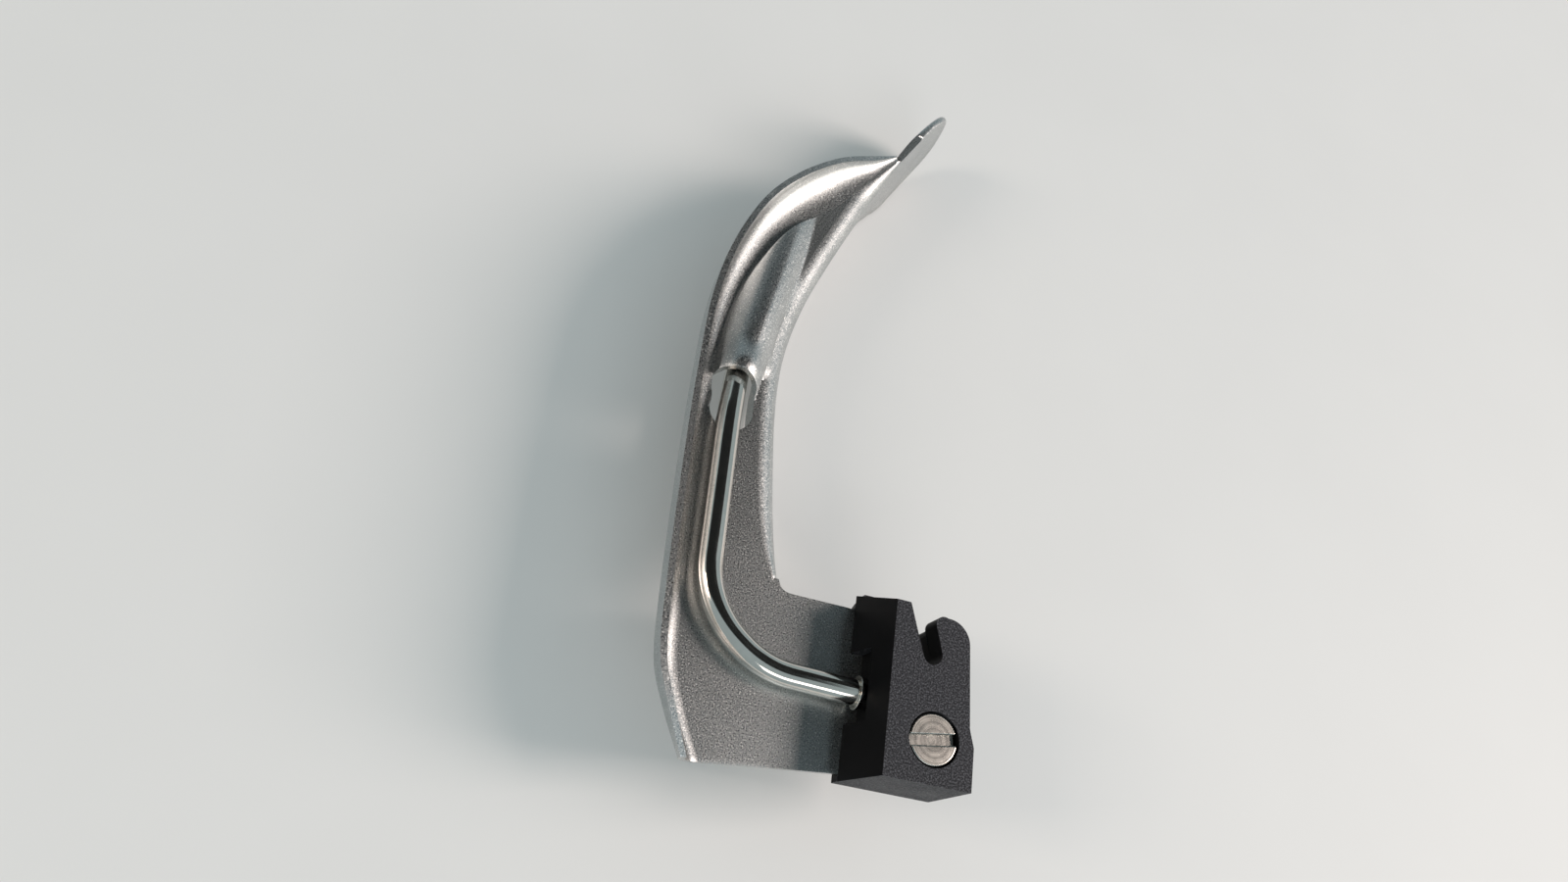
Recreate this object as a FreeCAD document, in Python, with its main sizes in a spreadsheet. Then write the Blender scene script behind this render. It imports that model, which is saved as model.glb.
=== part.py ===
import FreeCAD, Part
import math
import os
import Sketcher
from FreeCAD import Placement, Rotation, Vector

# A curved fibre-optic laryngoscope blade with a hook-on fitting.
# +X points towards the handle, +Y towards the tip, +Z to the blade's left side.
# The origin is the centre of the hook's pin seat, at the middle of the block's width.

os.makedirs("parts", exist_ok=True)
doc = FreeCAD.newDocument("LaryngoscopeBlade")

# ---------------------------------------------------------------- driving dimensions, mm

DIMENSIONS = {
    # hook-on block, side outline seen along Z
    "block_left": 6.3,
    "block_bottom": 18.4,
    "block_right": 7.5,
    "block_top": 10.2,
    "post_x": 5.25,
    "wall_x": 1.462,
    "wall_y": 0.518,
    "seat_radius": 1.55,
    "arm_seat_x": 1.491,
    "arm_seat_y": -0.425,
    "arm_tip_x": 0.35,
    "arm_tip_y": 4.1,
    "arm_crown_x": 2.1,
    "arm_crown_y": 5.8,
    "arm_tip_radius": 1.3,
    "arm_back_x": 5.95,
    "arm_back_y": 2.2,
    "arm_back_radius": 3.6,
    "rear_arm_tip_x": 0.5,
    "rear_arm_tip_y": 3.4,
    "rear_arm_crown_x": 2.0,
    "rear_arm_crown_y": 5.0,
    "rear_arm_radius": 3.4,
    "waist_x": 6.7,
    "waist_y": 9.6,
    "step_y": 12.2,
    "block_half": 6.5,
    "near_top": 6.9,
    "cheek_back": 2.8,
    # slanted left side of the block, the recess for the tube, and the cover behind it
    "side_left": 8.4,
    "cover_cut_x": 6.9,
    "cover_cut_y": 7.7,
    "recess_top": 0.6,
    "recess_bottom": 10.2,
    "recess_front": 1.1,
    "moulding_gap": 0.5,
    "tang_front": 4.4,
    "tang_back": 5.4,
    # clamp screw, washer and insert
    "screw_x": 1.2,
    "screw_y": 12.1,
    "sink_radius": 3.95,
    "sink_depth": 2.6,
    "head_radius": 3.7,
    "head_height": 1.9,
    "slot_turn": 9.0,
    "slot_width": 1.5,
    "slot_depth": 0.9,
    "shank_radius": 1.9,
    "shank_short": 0.3,
    "screw_bore": 2.0,
    "washer_thickness": 0.5,
    "insert_radius": 2.75,
    "insert_length": 4.6,
    "flange_radius": 3.1,
    "flange_height": 0.6,
    # light tube and its fittings
    "tube_radius": 1.95,
    "tube_bore": 1.6,
    "bundle_radius": 1.55,
    "tube_hole": 2.0,
    "collar_radius": 2.6,
    "collar_foot": 2.25,
    "collar_height": 1.6,
    "collar_gap": 0.12,
    "inlet_x": 6.3,
    "inlet_y": 6.9,
    "inlet_radius": 2.3,
    "inlet_length": 4.4,
    "outlet_radius": 2.25,
    "outlet_length": 4.0,
    # spring ball that clicks into the handle, on the block's far face
    "detent_x": 3.9,
    "detent_y": 5.4,
    "sleeve_radius": 1.75,
    "sleeve_bore": 1.45,
    "sleeve_length": 3.9,
    "ball_radius": 1.38,
    "ball_proud": 0.75,
    "sleeve_floor": 0.4,
    "lip_height": 0.15,
    "lip_radius": 1.32,
    "spring_radius": 1.0,
    "spring_wire": 0.16,
    # locating pins through the tang
    "pin_radius": 0.9,
    "pin_length": 2.6,
    "pin_below": 0.6,
    # stamped sheet
    "sheet_front": 4.4,
    "sheet_thickness": 1.0,
    "flange_edge": 2.4,
    "flange_lean": 0.3,
    "flange_bend": 3.2,
    "spatula_edge": 21.0,
    "hood_room": 0.35,
    "hood_wall": 0.9,
    "hood_end_bore": 1.84,
    "hole_radius": 3.5,
    "tube_clearance": 0.25,
    # tang of the sheet, and the pocket in the cover that takes it
    "tang_left": 8.6,
    "tang_top": 6.0,
    "tang_neck": 4.9,
    "tang_waist": 2.9,
    "tang_step": 2.9,
    "tang_right": 5.0,
    "tang_bottom": 17.2,
    "pocket_left": 9.0,
    "pocket_top": 6.2,
    "pocket_neck": 4.75,
    "pocket_waist": 2.6,
    "pocket_step": 2.6,
    "pocket_right": 5.3,
    "pocket_bottom": 17.4,
    "bead_radius": 1.0,
    "bead_length": 7.4,
}

sizes = doc.addObject("Spreadsheet::Sheet", "sizes")
for row, (alias, number) in enumerate(DIMENSIONS.items(), start=1):
    cell = "A%d" % row
    sizes.set(cell, str(number))
    sizes.setAlias(cell, alias)
doc.recompute()


def size(term):
    """Value of a sheet cell; a leading minus turns its sign."""
    if term.startswith("-"):
        return -float(sizes.get(term[1:]))
    return float(sizes.get(term))


def cell_of(term):
    """The expression that reads the same cell."""
    if term.startswith("-"):
        return "-sizes." + term[1:]
    return "sizes." + term


def bind(item, **expressions):
    """Ties properties to the sheet; two underscores stand for a dot in a property's path."""
    for path, expression in expressions.items():
        item.setExpression(path.replace("__", "."), expression)


# ---------------------------------------------------------------- sketched outlines

def new_body(label):
    body = doc.addObject("PartDesign::Body", label + "_body")
    body.Label = label
    return body


def new_sketch(body, name, height):
    """A sketch on the body's XY plane, lifted to the height that an expression gives."""
    sketch = body.newObject("Sketcher::SketchObject", name)
    plane = [f for f in body.Origin.OriginFeatures if f.Role == "XY_Plane"][0]
    sketch.AttachmentSupport = [(plane, "")]
    sketch.MapMode = "FlatFace"
    sketch.setExpression("AttachmentOffset.Base.z", height)
    return sketch


def draw(sketch, corners):
    """A closed outline: each corner is (x, y) in cell names, or (x, y, radius, side) where the
    edge to the next corner is an arc; side is 1 where the arc bulges to the left of its chord."""
    points = [Vector(size(c[0]), size(c[1]), 0) for c in corners]
    ends = []
    for index, corner in enumerate(corners):
        start = points[index]
        end = points[(index + 1) % len(points)]
        if len(corner) == 2:
            sketch.addGeometry(Part.LineSegment(start, end))
        else:
            radius = size(corner[2])
            chord = end - start
            left = Vector(-chord.y, chord.x, 0).normalize()
            rise = radius - math.sqrt(radius ** 2 - (chord.Length / 2) ** 2)
            middle = (start + end) / 2 + left * (rise * corner[3])
            if corner[3] == 1:
                sketch.addGeometry(Part.Arc(end, middle, start))
            else:
                sketch.addGeometry(Part.Arc(start, middle, end))
        ends.append((2, 1) if corner[2:] and corner[3] == 1 else (1, 2))
    for index, corner in enumerate(corners):
        for axis, term in (("DistanceX", corner[0]), ("DistanceY", corner[1])):
            number = sketch.addConstraint(
                Sketcher.Constraint(axis, -1, 1, index, ends[index][0], size(term)))
            sketch.setExpression("Constraints[%d]" % number, cell_of(term))
        if len(corner) == 4:
            number = sketch.addConstraint(Sketcher.Constraint("Radius", index, size(corner[2])))
            sketch.setExpression("Constraints[%d]" % number, cell_of(corner[2]))
        after = (index + 1) % len(corners)
        sketch.addConstraint(
            Sketcher.Constraint("Coincident", index, ends[index][1], after, ends[after][0]))


def ring(sketch, x_term, y_term, radius_term):
    """A circle whose centre and radius are cells."""
    centre = Vector(size(x_term), size(y_term), 0)
    index = sketch.addGeometry(Part.Circle(centre, Vector(0, 0, 1), size(radius_term)))
    for axis, term in (("DistanceX", x_term), ("DistanceY", y_term)):
        number = sketch.addConstraint(Sketcher.Constraint(axis, -1, 1, index, 3, size(term)))
        sketch.setExpression("Constraints[%d]" % number, cell_of(term))
    number = sketch.addConstraint(Sketcher.Constraint("Radius", index, size(radius_term)))
    sketch.setExpression("Constraints[%d]" % number, cell_of(radius_term))


def pad(body, name, corners, bottom, length):
    sketch = new_sketch(body, name + "_outline", bottom)
    draw(sketch, corners)
    feature = body.newObject("PartDesign::Pad", name)
    feature.Profile = sketch
    feature.setExpression("Length", length)
    doc.recompute()
    return feature


def bore(body, name, circle, top, depth):
    """A round pocket that goes down from the height that an expression gives."""
    before = body.Shape.Volume
    sketch = new_sketch(body, name + "_circle", top)
    ring(sketch, *circle)
    feature = body.newObject("PartDesign::Pocket", name)
    feature.Profile = sketch
    feature.setExpression("Length", depth)
    doc.recompute()
    if body.Shape.Volume >= before:
        raise ValueError(name + " cut nothing")
    return feature


# ---------------------------------------------------------------- centreline of the light tube

# From the lamp end in the block, along the web and through the hood to the far side.
TUBE_ROUTE = [
    Vector(size("inlet_x"), -size("inlet_y"), 0.0),
    Vector(1.6, -6.9, 0.0),
    Vector(-4.0, -6.0, -1.6),
    Vector(-22.4, -5.3, -2.2),
    Vector(-32.7, 1.9, -2.2),
    Vector(-33.6, 31.5, -2.2),
    Vector(-32.7, 43.5, -4.7),
    Vector(-29.2, 60.0, -8.2),
]
TUBE_BENDS = [6.0, 6.0, 14.8, 14.8, 30.0, 30.0]


def rounded_path(points, radii):
    """Straight runs joined by tangent arcs of the radii given for the inner points."""
    edges = []
    start = points[0]
    for index, radius in enumerate(radii, start=1):
        corner = points[index]
        before = (points[index - 1] - corner).normalize()
        after = (points[index + 1] - corner).normalize()
        half = before.getAngle(after) / 2
        reach = radius / math.tan(half)
        centre = corner + (before + after).normalize() * (radius / math.sin(half))
        first = corner + before * reach
        last = corner + after * reach
        middle = centre + (corner - centre).normalize() * radius
        edges.append(Part.LineSegment(start, first).toShape())
        edges.append(Part.Arc(first, middle, last).toShape())
        start = last
    edges.append(Part.LineSegment(start, points[-1]).toShape())
    return Part.Wire(edges)


def rod(path, radius):
    """A round solid swept along a path."""
    edge = path.OrderedEdges[0]
    start = edge.valueAt(edge.FirstParameter)
    heading = edge.tangentAt(edge.FirstParameter)
    section = Part.Wire(Part.Circle(start, heading, radius).toShape())
    return path.makePipeShell([section], True, False)


tube_path = rounded_path(TUBE_ROUTE, TUBE_BENDS)
tube_start = TUBE_ROUTE[0]
tube_start_heading = (TUBE_ROUTE[1] - TUBE_ROUTE[0]).normalize()
tube_end = TUBE_ROUTE[-1]
tube_end_heading = (TUBE_ROUTE[-1] - TUBE_ROUTE[-2]).normalize()


def solid_piece(label, shape):
    piece = doc.addObject("Part::Feature", label)
    piece.Label = label
    piece.Shape = shape
    piece.Placement = Placement()
    return piece


# ---------------------------------------------------------------- stamped sheet

FRONT = -size("sheet_front")
GAUGE = size("sheet_thickness")
BACK = FRONT - GAUGE

# Handle side of the spatula, from the tang's corner to the tip.
SPATULA_LINE = [
    Vector(-21.2, 8.8, 0), Vector(-23.2, 24.0, 0), Vector(-24.7, 38.0, 0), Vector(-24.6, 48.0, 0),
    Vector(-22.6, 58.0, 0), Vector(-19.0, 68.5, 0), Vector(-14.2, 80.5, 0), Vector(-8.6, 93.6, 0),
    Vector(-4.0, 102.2, 0), Vector(1.6, 111.0, 0),
]
# Foot of the tongue flange, from the heel to where it runs out into the spatula's edge.
FLANGE_LINE = [
    Vector(-32.9, -19.9, 0), Vector(-36.4, -13.2, 0), Vector(-38.6, -7.6, 0), Vector(-39.5, 1.5, 0),
    Vector(-40.3, 20.0, 0), Vector(-40.6, 38.0, 0), Vector(-40.1, 52.0, 0), Vector(-37.3, 64.4, 0),
    Vector(-31.8, 76.0, 0), Vector(-21.6, 87.0, 0), Vector(-9.6, 94.6, 0),
]


def curve_through(points, height=0.0, shift=0.0):
    """A smooth edge through points, moved sideways along its own normals by a shift."""
    moved = []
    for index, point in enumerate(points):
        ahead = points[min(index + 1, len(points) - 1)]
        behind = points[max(index - 1, 0)]
        along = (ahead - behind).normalize()
        moved.append(point + Vector(-along.y, along.x, 0) * shift + Vector(0, 0, height))
    spline = Part.BSplineCurve()
    spline.interpolate(moved)
    return spline.toShape()


def strip_wire(points, height, near, far):
    """The closed outline of a strip that lies between two shifts of one curve."""
    inner = curve_through(points, height, near)
    outer = curve_through(points, height, far)
    first = Part.LineSegment(inner.Vertexes[0].Point, outer.Vertexes[0].Point).toShape()
    last = Part.LineSegment(inner.Vertexes[-1].Point, outer.Vertexes[-1].Point).toShape()
    return Part.Wire([first, outer, last, inner])


def prism(points, direction):
    """A straight-sided solid on a closed polygon."""
    return Part.Face(Part.makePolygon(points + [points[0]])).extrude(direction)


# Spatula: a curved strip that stands away from the web, with its free edge and tip rounded off.
spatula = Part.Face(strip_wire(SPATULA_LINE, FRONT, 0, GAUGE)).extrude(
    Vector(0, 0, -size("spatula_edge") - FRONT))
EDGE_PROFILE = [
    Vector(-60, 8, -10.5), Vector(-60, 20, -16.0), Vector(-60, 34, -19.6), Vector(-60, 50, -21.0),
    Vector(-60, 80, -21.0), Vector(-60, 99, -20.8), Vector(-60, 106, -19.4), Vector(-60, 110.0, -16.2),
    Vector(-60, 111.2, -12.4), Vector(-60, 110.8, -8.4), Vector(-60, 108.6, -5.6), Vector(-60, 104, -4.4),
]
free_edge = Part.BSplineCurve()
free_edge.interpolate(EDGE_PROFILE)
edge_close = Part.makePolygon([
    EDGE_PROFILE[-1], Vector(-60, 104, 0), Vector(-60, 0, 0), Vector(-60, 0, -10.5), EDGE_PROFILE[0]])
keep = Part.Face(Part.Wire([free_edge.toShape()] + edge_close.Edges)).extrude(Vector(80, 0, 0))
spatula = spatula.common(keep)

# Web: a flat plate between the flange's foot and the spatula, with the tang that the block clamps.
bend = size("flange_bend")
foot = curve_through(FLANGE_LINE, FRONT, -bend)
crest = curve_through(SPATULA_LINE[:7], FRONT, GAUGE / 2)
tang_points = [
    crest.Vertexes[0].Point,
    Vector(-19.8, 7.5, FRONT),
    Vector(-11.6, 7.6, FRONT),
    Vector(-size("tang_left"), size("tang_top"), FRONT),
    Vector(-size("tang_neck"), size("tang_top"), FRONT),
    Vector(-size("tang_waist"), -size("tang_step"), FRONT),
    Vector(size("tang_right"), -size("tang_step"), FRONT),
    Vector(size("tang_right"), -size("tang_bottom"), FRONT),
    Vector(-size("tang_left"), -size("tang_bottom"), FRONT),
    foot.Vertexes[0].Point,
]
rim = Part.LineSegment(foot.Vertexes[-1].Point, crest.Vertexes[-1].Point).toShape()
web = Part.Face(Part.Wire([foot, rim, crest] + Part.makePolygon(tang_points).Edges))
web = web.extrude(Vector(0, 0, -GAUGE))

# Tongue flange: a leaning strip along the convex side, cut down to its free edge.
flange_top = size("flange_edge")
lean = size("flange_lean")
bend_top = BACK + bend
flange = Part.makeLoft([
    strip_wire(FLANGE_LINE, BACK, -bend - GAUGE, -bend),
    strip_wire(FLANGE_LINE, bend_top, -GAUGE, 0),
    strip_wire(FLANGE_LINE, flange_top, lean - GAUGE, lean),
], True, True)
RIM_PROFILE = [
    Vector(-60, -30, -1.4), Vector(-60, -19.6, -0.7), Vector(-60, -12.0, 1.7), Vector(-60, 0.0, 2.4),
    Vector(-60, 40.0, 2.4), Vector(-60, 62.0, 1.9), Vector(-60, 76.0, 0.7), Vector(-60, 87.0, -1.2),
    Vector(-60, 95.5, -4.4),
]
rim_edge = Part.BSplineCurve()
rim_edge.interpolate(RIM_PROFILE)
rim_close = Part.makePolygon([
    RIM_PROFILE[-1], Vector(-60, 100, -4.4), Vector(-60, 100, -8), Vector(-60, -30, -8), RIM_PROFILE[0]])
flange = flange.common(
    Part.Face(Part.Wire([rim_edge.toShape()] + rim_close.Edges)).extrude(Vector(60, 0, 0)))

sheet_shape = web.fuse([spatula, flange]).removeSplitter()

# Hood: the web is pressed out over the tube, and cut through just below so that the tube passes.
hood_base = Vector(-33.1, 39.8, -3.5)
hood_tip = Vector(-26.2, 74.0, -6.3)
hood_heading = (hood_tip - hood_base).normalize()
hood_length = (hood_tip - hood_base).Length
hood_bore = size("tube_radius") + size("hood_room")
hood_outer = hood_bore + size("hood_wall")
end_bore = size("hood_end_bore")
outer_cone = Part.makeCone(hood_outer, end_bore, hood_length, hood_base, hood_heading)
inner_cone = Part.makeCone(hood_bore, end_bore - 0.1, hood_length + GAUGE, hood_base, hood_heading)
behind_web = Part.makeBox(80, 90, 40, Vector(-60, 20, BACK - 40))
sheet_shape = sheet_shape.fuse(outer_cone.cut(behind_web))
sheet_shape = sheet_shape.cut(inner_cone)
hole_at = Vector(-32.8, 34.6, BACK - GAUGE)
sheet_shape = sheet_shape.cut(Part.makeCylinder(size("hole_radius"), 3 * GAUGE, hole_at))
sheet_shape = sheet_shape.cut(rod(tube_path, size("tube_radius") + size("tube_clearance")))

# Tip: its end is rolled into a smooth bead.
bead_top = Vector(1.0, 110.9, -8.4)
bead_bottom = bead_top - Vector(0, 0, size("bead_length"))
bead = Part.makeCylinder(size("bead_radius"), size("bead_length"), bead_bottom)
for end in (bead_top, bead_bottom):
    bead = bead.fuse(Part.makeSphere(size("bead_radius"), end))
sheet_shape = sheet_shape.fuse(bead)

# Holes in the tang for the screw insert, the two pins and the spring ball's sleeve.
PIN_PLACES = [Vector(-4.4, -15.2, 0), Vector(-4.6, -0.9, 0)]


def pins():
    """The two locating pins, which also cut the holes that they are pressed into."""
    foot = Vector(0, 0, BACK - size("pin_below"))
    return [Part.makeCylinder(size("pin_radius"), size("pin_length"), place + foot) for place in PIN_PLACES]


TANG_HOLE_ROOM = 0.1
tang_holes = [
    (Vector(size("screw_x"), -size("screw_y"), 0), size("insert_radius") + TANG_HOLE_ROOM),
    (Vector(size("detent_x"), -size("detent_y"), 0), size("sleeve_radius") + TANG_HOLE_ROOM),
]
for place in PIN_PLACES:
    tang_holes.append((place, size("pin_radius")))
for place, radius in tang_holes:
    drill = Part.makeCylinder(radius, 4 * GAUGE, place + Vector(0, 0, BACK - GAUGE))
    sheet_shape = sheet_shape.cut(drill)
sheet_shape = max(sheet_shape.Solids, key=lambda solid: solid.Volume)
solid_piece("blade_sheet", sheet_shape)

# ---------------------------------------------------------------- moulded hook-on block

LOWER_OUTLINE = [
    ("waist_x", "-waist_y"),
    ("block_right", "-step_y"),
    ("block_right", "-block_bottom"),
    ("-side_left", "-block_bottom"),
    ("-side_left", "block_top"),
    ("-post_x", "block_top"),
]
FRONT_ARM = [
    ("-wall_x", "-wall_y", "seat_radius", -1),
    ("arm_seat_x", "-arm_seat_y"),
    ("arm_tip_x", "arm_tip_y", "arm_tip_radius", 1),
    ("arm_crown_x", "arm_crown_y", "arm_back_radius", 1),
    ("arm_back_x", "arm_back_y"),
]
REAR_ARM = [
    ("-wall_x", "-wall_y", "seat_radius", -1),
    ("arm_seat_x", "-arm_seat_y"),
    ("rear_arm_tip_x", "rear_arm_tip_y", "arm_tip_radius", 1),
    ("rear_arm_crown_x", "rear_arm_crown_y", "rear_arm_radius", 1),
    ("arm_back_x", "arm_back_y"),
]
COVER_CORNER = [("-side_left", "cover_cut_y"), ("-cover_cut_x", "block_top")]
COVER = LOWER_OUTLINE[:4] + COVER_CORNER + LOWER_OUTLINE[5:] + REAR_ARM

# Block: body, and the taller cheek on the near side.
block = new_body("heel_block")
pad(block, "body", LOWER_OUTLINE + REAR_ARM,
    "-sizes.tang_front", "sizes.cheek_back + sizes.tang_front")
pad(block, "cheek", LOWER_OUTLINE + FRONT_ARM,
    "sizes.cheek_back", "sizes.block_half - sizes.cheek_back")
SCREW_AT = ("screw_x", "-screw_y")
bore(block, "screw_sink", SCREW_AT + ("sink_radius",), "sizes.block_half", "sizes.sink_depth")
bore(block, "screw_hole", SCREW_AT + ("screw_bore",), "sizes.block_half", "2 * sizes.block_half")
bore(block, "insert_hole", SCREW_AT + ("insert_radius",),
     "sizes.insert_length - sizes.block_half + sizes.flange_height", "sizes.insert_length")
DETENT_AT = ("detent_x", "-detent_y")
bore(block, "sleeve_hole", DETENT_AT + ("sleeve_radius",),
     "sizes.sleeve_length - sizes.block_half", "sizes.sleeve_length")


# One cutter makes what a straight pocket cannot: the tube's bent channel, the ferrule's and the pins'
# holes, the falling top face, the slanted left side and the recess around the tube.
PAST = 4.0
GAP = size("moulding_gap")
channel_shape = rod(tube_path, size("tube_hole"))
past_face = tube_start - tube_start_heading * PAST
channel_shape = channel_shape.fuse(Part.makeCylinder(
    size("inlet_radius"), size("inlet_length") + PAST, past_face, tube_start_heading))
for pin in pins():
    channel_shape = channel_shape.fuse(pin)
top_fall = math.degrees(math.atan2(size("block_top") - size("near_top"), 2 * size("block_half")))
slant = Part.makeBox(12, 8, 40, Vector(-12, 0, -10))
slant.Placement = Placement(
    Vector(0, size("block_top"), -size("block_half")), Rotation(Vector(1, 0, 0), top_fall))
channel_shape = channel_shape.fuse(slant)
side_near = -size("block_left")
side_far = -size("side_left")
side_start = -size("block_bottom") - PAST
side_slope = [
    Vector(side_near, side_start, size("block_half")),
    Vector(side_near, side_start, size("block_half") + PAST),
    Vector(side_far - PAST, side_start, size("block_half") + PAST),
    Vector(side_far - PAST, side_start, FRONT - GAP),
    Vector(side_far, side_start, FRONT - GAP),
]
channel_shape = channel_shape.fuse(prism(side_slope, Vector(0, size("block_top") - side_start + PAST, 0)))
channel_shape = channel_shape.fuse(Part.makeBox(
    PAST, size("recess_top") + size("recess_bottom"), size("recess_front") - FRONT + GAP,
    Vector(side_near - PAST, -size("recess_bottom"), FRONT - GAP)))
channel = solid_piece("block_channels", channel_shape)
block.Label = "heel_moulding"


def cut_piece(label, base, tool):
    piece = doc.addObject("Part::Cut", label)
    piece.Label = label
    piece.Base = base
    piece.Tool = tool
    return piece


heel_block = cut_piece("heel_block", block, channel)

# Cover: the thin plate that closes the block's far side, with a pocket for the tang.
POCKET = [
    ("-pocket_left", "pocket_top"),
    ("-pocket_left", "-pocket_bottom"),
    ("pocket_right", "-pocket_bottom"),
    ("pocket_right", "-pocket_step"),
    ("-pocket_waist", "-pocket_step"),
    ("-pocket_neck", "pocket_top"),
]
cover = new_body("cover_moulding")
pad(cover, "plate", COVER, "-sizes.block_half", "sizes.block_half - sizes.tang_front")
volume_before = cover.Shape.Volume
pocket_sketch = new_sketch(cover, "tang_pocket_outline", "-sizes.tang_front")
draw(pocket_sketch, POCKET)
tang_pocket = cover.newObject("PartDesign::Pocket", "tang_pocket")
tang_pocket.Profile = pocket_sketch
tang_pocket.setExpression("Length", "sizes.tang_back - sizes.tang_front")
doc.recompute()
if cover.Shape.Volume >= volume_before:
    raise ValueError("the tang's pocket cut nothing")
bore(cover, "cover_insert_hole", SCREW_AT + ("insert_radius",), "0", "sizes.block_half")
bore(cover, "insert_flange_sink", SCREW_AT + ("flange_radius",),
     "sizes.flange_height - sizes.block_half", "sizes.flange_height")
bore(cover, "cover_sleeve_hole", DETENT_AT + ("sleeve_radius",), "0", "sizes.block_half")
cover_pins = solid_piece("cover_pin_holes", Part.makeCompound(pins()))
heel_cover = cut_piece("heel_cover", cover, cover_pins)

# ---------------------------------------------------------------- turned parts on the Z axis

def turned(label, x_term, y_term, height, radius, bottom):
    """A cylinder along Z, placed and sized from the sheet."""
    piece = doc.addObject("Part::Cylinder", label)
    piece.Label = label
    bind(piece, Radius=radius, Height=height, Placement__Base__x=cell_of(x_term),
         Placement__Base__y=cell_of(y_term), Placement__Base__z=bottom)
    return piece


def joined(label, pieces):
    piece = doc.addObject("Part::MultiFuse", label)
    piece.Label = label
    piece.Shapes = pieces
    return piece


# Screw: slotted cheese head on a plain-drawn threaded shank.
HEAD_SEAT = "sizes.block_half - sizes.sink_depth + sizes.washer_thickness"
head = turned("screw_head", "screw_x", "-screw_y", "sizes.head_height", "sizes.head_radius", HEAD_SEAT)
shank = turned("screw_shank", "screw_x", "-screw_y", HEAD_SEAT + " + sizes.block_half - sizes.shank_short",
               "sizes.shank_radius", "sizes.shank_short - sizes.block_half")
slot = doc.addObject("Part::Box", "screw_slot")
slot.Placement.Rotation = Rotation(Vector(0, 0, 1), size("slot_turn"))
SLOT_REACH = "1.2 * sizes.head_radius"
SLOT_COS = "cos(sizes.slot_turn * 1 deg)"
SLOT_SIN = "sin(sizes.slot_turn * 1 deg)"
slot_x = "sizes.screw_x - %s * %s + sizes.slot_width / 2 * %s" % (SLOT_REACH, SLOT_COS, SLOT_SIN)
slot_y = "-sizes.screw_y - %s * %s - sizes.slot_width / 2 * %s" % (SLOT_REACH, SLOT_SIN, SLOT_COS)
bind(slot, Length="2 * " + SLOT_REACH, Width="sizes.slot_width", Height="2 * sizes.slot_depth",
     Placement__Base__x=slot_x, Placement__Base__y=slot_y,
     Placement__Base__z=HEAD_SEAT + " + sizes.head_height - sizes.slot_depth")
heel_screw = cut_piece("heel_screw", joined("screw_blank", [head, shank]), slot)

# Washer under the head.
washer_disc = turned("washer_disc", "screw_x", "-screw_y", "sizes.washer_thickness",
                     "sizes.head_radius", "sizes.block_half - sizes.sink_depth")
washer_eye = turned("washer_eye", "screw_x", "-screw_y", "3 * sizes.washer_thickness",
                    "sizes.screw_bore", "sizes.block_half - sizes.sink_depth - sizes.washer_thickness")
screw_washer = cut_piece("screw_washer", washer_disc, washer_eye)

# Insert: flanged steel bush that the screw's thread pulls against.
insert_flange = turned("insert_flange", "screw_x", "-screw_y", "sizes.flange_height",
                       "sizes.flange_radius", "-sizes.block_half")
insert_barrel = turned("insert_barrel", "screw_x", "-screw_y",
                       "sizes.insert_length + sizes.flange_height",
                       "sizes.insert_radius", "-sizes.block_half")
insert_thread = turned("insert_thread", "screw_x", "-screw_y", "2 * sizes.block_half",
                       "sizes.screw_bore", "-1.5 * sizes.block_half")
insert_blank = joined("insert_blank", [insert_flange, insert_barrel])
screw_insert = cut_piece("screw_insert", insert_blank, insert_thread)

# Detent: a sleeve with a lip, the ball behind the lip, and the spring that pushes it out.
sleeve_outside = turned("sleeve_outside", "detent_x", "-detent_y", "sizes.sleeve_length",
                        "sizes.sleeve_radius", "-sizes.block_half")
sleeve_room = turned("sleeve_room", "detent_x", "-detent_y",
                     "sizes.sleeve_length - sizes.sleeve_floor - sizes.lip_height",
                     "sizes.sleeve_bore", "sizes.lip_height - sizes.block_half")
sleeve_mouth = turned("sleeve_mouth", "detent_x", "-detent_y", "4 * sizes.lip_height",
                      "sizes.lip_radius", "-2 * sizes.lip_height - sizes.block_half")
sleeve_hollow = joined("sleeve_hollow", [sleeve_room, sleeve_mouth])
detent_sleeve = cut_piece("detent_sleeve", sleeve_outside, sleeve_hollow)

detent_ball = doc.addObject("Part::Sphere", "detent_ball")
detent_ball.Label = "detent_ball"
bind(detent_ball, Radius="sizes.ball_radius", Placement__Base__x="sizes.detent_x",
     Placement__Base__y="-sizes.detent_y",
     Placement__Base__z="sizes.ball_radius - sizes.ball_proud - sizes.block_half")

ball_centre = size("ball_radius") - size("ball_proud") - size("block_half")
wire = size("spring_wire")
ball_touch = math.sqrt((size("ball_radius") + wire) ** 2 - size("spring_radius") ** 2)
SPRING_GAP = 0.03
SPRING_TURNS = 3
spring_low = ball_centre + ball_touch + SPRING_GAP
spring_high = size("sleeve_length") - size("sleeve_floor") - size("block_half") - wire - SPRING_GAP
spring_rise = spring_high - spring_low
helix = Part.makeHelix(spring_rise / SPRING_TURNS, spring_rise, size("spring_radius"))
helix.translate(Vector(size("detent_x"), -size("detent_y"), spring_low))
spring_start = helix.Edges[0].valueAt(helix.Edges[0].FirstParameter)
spring_heading = helix.Edges[0].tangentAt(helix.Edges[0].FirstParameter)
spring_section = Part.Wire(Part.Circle(spring_start, spring_heading, wire).toShape())
solid_piece("detent_spring", Part.Wire(helix.Edges).makePipeShell([spring_section], True, True))

# Locating pins: two dowels through block, tang and cover.
solid_piece("locating_pins", Part.makeCompound(pins()))

# ---------------------------------------------------------------- light tube and its fittings

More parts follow.
